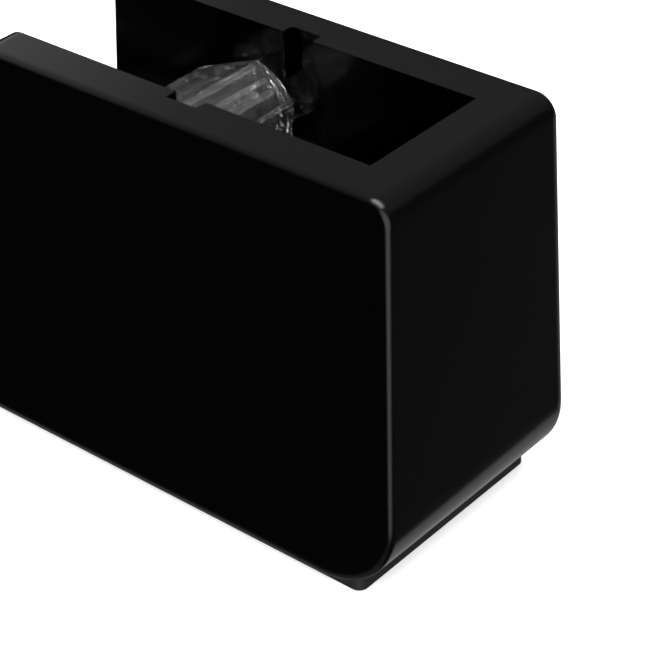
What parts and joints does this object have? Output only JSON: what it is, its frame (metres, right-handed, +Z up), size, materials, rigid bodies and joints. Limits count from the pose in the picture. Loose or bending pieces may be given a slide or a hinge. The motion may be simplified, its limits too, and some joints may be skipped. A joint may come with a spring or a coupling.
{
  "type": "desk tape dispenser with drawer",
  "caption": "Black desk tape dispenser: a clear hub drops into an open well, a serrated blade sits on the low deck in front, and a small drawer slides out under it.",
  "frame": {"origin": "middle of the footprint, on the plane that the non-slip pad rests on", "axes": "+Z up; the cutter and the drawer face -Y; +X is the right-hand side seen from the front; the hub turns about an axis along X"},
  "size_m": [0.05, 0.156, 0.0795],
  "materials": {
    "gloss_black_abs": "polished moulding",
    "matte_black_abs": "fine matte moulding",
    "pad_rubber": "foamed sheet",
    "ballast_iron": "as cast",
    "screw_steel": "zinc plated",
    "blade_steel": "rolled strip",
    "clear_polystyrene": "clear moulding",
    "rail_acetal": "natural moulding"
  },
  "bodies": {
    "stand": {"housing": "gloss_black_abs", "base_plate": "matte_black_abs", "base_screws": "screw_steel", "non_slip_pad": "pad_rubber", "ballast_block": "ballast_iron", "ballast_screws": "screw_steel", "blade_carrier": "gloss_black_abs", "carrier_screws": "screw_steel", "cutter_blade": "blade_steel", "blade_rivets": "blade_steel", "tape_rest": "matte_black_abs", "drawer_rail_left": "rail_acetal", "drawer_rail_right": "rail_acetal", "rail_screws": "screw_steel"},
    "hub": {"hub_drum": "clear_polystyrene", "hub_cap": "clear_polystyrene"},
    "drawer": {"drawer_tray": "matte_black_abs", "drawer_front": "gloss_black_abs", "drawer_front_screws": "screw_steel", "drawer_divider": "matte_black_abs"}
  },
  "joints": [
    {"name": "hub_spin", "type": "hinge", "parent": "stand", "child": "hub", "pos_m": [0, 0.0195, 0.0626], "axis": [1, 0, 0], "continuous": true},
    {"name": "drawer_slide", "type": "slide", "parent": "stand", "child": "drawer", "axis": [0, -1, 0], "range_m": [0, 0.055]}
  ]
}
